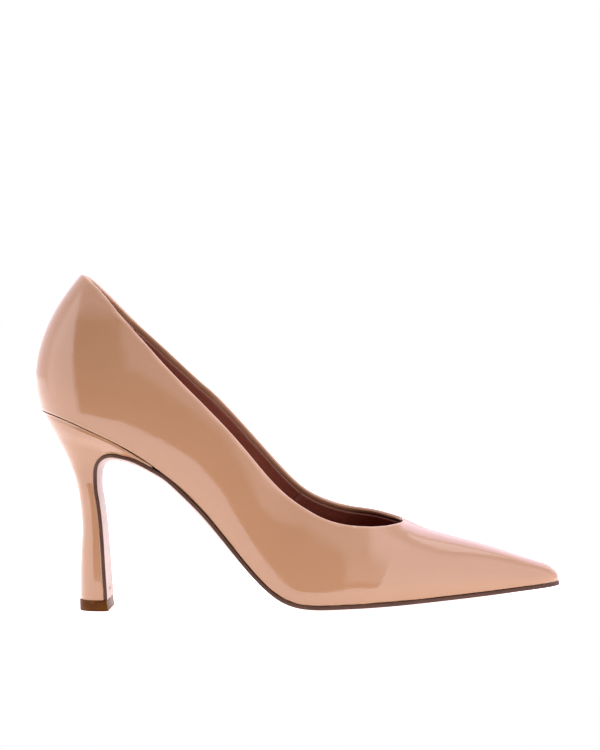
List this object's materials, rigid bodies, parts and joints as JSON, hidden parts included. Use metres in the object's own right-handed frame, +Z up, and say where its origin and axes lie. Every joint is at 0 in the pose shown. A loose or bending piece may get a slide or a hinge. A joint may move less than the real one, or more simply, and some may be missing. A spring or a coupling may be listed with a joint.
{
  "type": "high heel pump",
  "caption": "Closed pump with a pointed toe, low-cut throat, high slim heel covered in glossy leather, and a thin sole that runs on down the heel's front.",
  "frame": {"origin": "middle of the shoe's bounding box, on the floor it stands on", "axes": "+X towards the toe, +Z up, -Y the outer (lateral) side of the right foot"},
  "size_m": [0.2348, 0.0724, 0.153],
  "materials": {
    "patent_leather": "high gloss coated",
    "lining_leather": "satin",
    "suede_lining": "napped suede",
    "stiffener_fabric": "resin stiffened",
    "insole_fibreboard": "dense cellulose board",
    "latex_foam": "open cell",
    "sole_leather": "smooth with waxed edge",
    "shank_steel": "bright",
    "fastener_steel": "zinc plated",
    "dark_tack_steel": "blued",
    "cork_filler": "ground cork",
    "heel_plastic": "moulded",
    "lift_urethane": "amber, satin"
  },
  "bodies": {
    "root": {"upper_main": "patent_leather", "upper_medial_quarter": "patent_leather", "vamp_lining": "lining_leather", "quarter_lining_lateral": "lining_leather", "quarter_lining_medial": "lining_leather", "heel_grip": "suede_lining", "heel_counter": "stiffener_fabric", "toe_puff": "stiffener_fabric", "insole_board": "insole_fibreboard", "sock_foam": "latex_foam", "sock_lining": "lining_leather", "steel_shank": "shank_steel", "shank_rivet_back": "fastener_steel", "shank_rivet_front": "fastener_steel", "bottom_filler": "cork_filler", "heel_cover": "patent_leather", "heel_core": "heel_plastic", "outsole": "sole_leather", "heel_tube": "shank_steel", "breast_tack": "dark_tack_steel", "top_lift": "lift_urethane", "top_lift_pin": "fastener_steel", "heel_nail_1": "fastener_steel", "heel_nail_2": "fastener_steel", "heel_nail_3": "fastener_steel", "heel_nail_4": "fastener_steel", "heel_nail_5": "fastener_steel", "heel_screw": "fastener_steel"}
  },
  "joints": []
}
